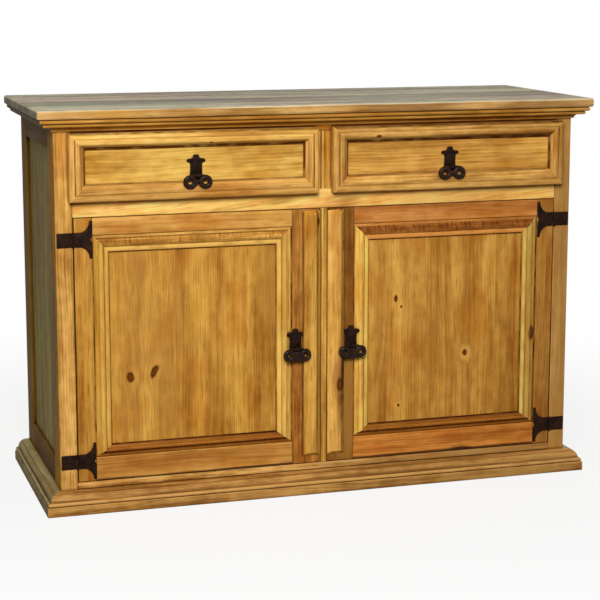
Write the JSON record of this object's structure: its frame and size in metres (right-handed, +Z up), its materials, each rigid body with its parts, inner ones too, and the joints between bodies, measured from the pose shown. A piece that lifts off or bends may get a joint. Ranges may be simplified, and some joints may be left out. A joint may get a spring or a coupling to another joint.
{
  "type": "buffet cabinet",
  "caption": "Rustic pine buffet cabinet: panelled drawers over framed doors under a moulded top, with black iron surface hinges and drop pulls, on a moulded plinth.",
  "frame": {"origin": "on the floor, under the middle of the top board's outline", "axes": "+X to the right of someone facing the front, -Y out of the front, +Z up"},
  "size_m": [1.22, 0.477, 0.84],
  "materials": {
    "honey_pine": "waxed",
    "pale_pine": "waxed",
    "reddish_pine": "waxed",
    "weathered_pine": "worn wax",
    "bare_pine": "unfinished",
    "wrought_iron": "black, hammered"
  },
  "bodies": {
    "carcass": {"top_panel": "weathered_pine", "cornice": "honey_pine", "plinth_front": "honey_pine", "plinth_left": "honey_pine", "plinth_right": "honey_pine", "post_front_left": "honey_pine", "post_front_right": "honey_pine", "post_back_left": "honey_pine", "post_back_right": "honey_pine", "side_top_rail_left": "honey_pine", "side_top_rail_right": "honey_pine", "side_bottom_rail_left": "honey_pine", "side_bottom_rail_right": "honey_pine", "side_panel_left": "honey_pine", "side_panel_right": "honey_pine", "front_top_rail": "pale_pine", "mid_rail": "pale_pine", "centre_post": "pale_pine", "floor_panel": "bare_pine", "dust_panel": "bare_pine", "shelf": "bare_pine", "back_panel": "bare_pine", "post_left_upper_hinge_leaf": "wrought_iron", "post_left_lower_hinge_leaf": "wrought_iron", "post_right_upper_hinge_leaf": "wrought_iron", "post_right_lower_hinge_leaf": "wrought_iron"},
    "door_left": {"door_left_hinge_stile": "honey_pine", "door_left_free_stile": "honey_pine", "door_left_top_rail": "honey_pine", "door_left_bottom_rail": "honey_pine", "door_left_panel": "pale_pine", "door_left_moulding": "honey_pine", "door_left_batten": "pale_pine", "door_left_upper_hinge_leaf": "wrought_iron", "door_left_lower_hinge_leaf": "wrought_iron", "door_left_pull_plate": "wrought_iron"},
    "door_right": {"door_right_hinge_stile": "honey_pine", "door_right_free_stile": "honey_pine", "door_right_top_rail": "reddish_pine", "door_right_bottom_rail": "reddish_pine", "door_right_panel": "pale_pine", "door_right_moulding": "honey_pine", "door_right_batten": "pale_pine", "door_right_upper_hinge_leaf": "wrought_iron", "door_right_lower_hinge_leaf": "wrought_iron", "door_right_pull_plate": "wrought_iron"},
    "drawer_left": {"drawer_left_front": "pale_pine", "drawer_left_moulding": "honey_pine", "drawer_left_box": "bare_pine", "drawer_left_bottom": "bare_pine", "drawer_left_pull_plate": "wrought_iron"},
    "drawer_right": {"drawer_right_front": "pale_pine", "drawer_right_moulding": "honey_pine", "drawer_right_box": "bare_pine", "drawer_right_bottom": "bare_pine", "drawer_right_pull_plate": "wrought_iron"},
    "door_left_pull": {"door_left_pull_ring": "wrought_iron"},
    "door_right_pull": {"door_right_pull_ring": "wrought_iron"},
    "drawer_left_pull": {"drawer_left_pull_ring": "wrought_iron"},
    "drawer_right_pull": {"drawer_right_pull_ring": "wrought_iron"}
  },
  "joints": [
    {"name": "door_left_swing", "type": "hinge", "parent": "carcass", "child": "door_left", "pos_m": [-0.53625, -0.2048, 0.3393], "axis": [0, 0, -1], "range_deg": [0, 110]},
    {"name": "door_right_swing", "type": "hinge", "parent": "carcass", "child": "door_right", "pos_m": [0.53625, -0.2048, 0.3393], "axis": [0, 0, 1], "range_deg": [0, 110]},
    {"name": "drawer_left_slide", "type": "slide", "parent": "carcass", "child": "drawer_left", "axis": [0, -1, 0], "range_m": [0, 0.28]},
    {"name": "drawer_right_slide", "type": "slide", "parent": "carcass", "child": "drawer_right", "axis": [0, -1, 0], "range_m": [0, 0.28]},
    {"name": "door_left_pull_swing", "type": "hinge", "parent": "door_left", "child": "door_left_pull", "pos_m": [-0.0625, -0.2168, 0.318], "axis": [-1, 0, 0], "range_deg": [0, 90]},
    {"name": "door_right_pull_swing", "type": "hinge", "parent": "door_right", "child": "door_right_pull", "pos_m": [0.0625, -0.2168, 0.318], "axis": [-1, 0, 0], "range_deg": [0, 90]},
    {"name": "drawer_left_pull_swing", "type": "hinge", "parent": "drawer_left", "child": "drawer_left_pull", "pos_m": [-0.28075, -0.2313, 0.6998], "axis": [-1, 0, 0], "range_deg": [0, 90]},
    {"name": "drawer_right_pull_swing", "type": "hinge", "parent": "drawer_right", "child": "drawer_right_pull", "pos_m": [0.28075, -0.2313, 0.6998], "axis": [-1, 0, 0], "range_deg": [0, 90]}
  ]
}
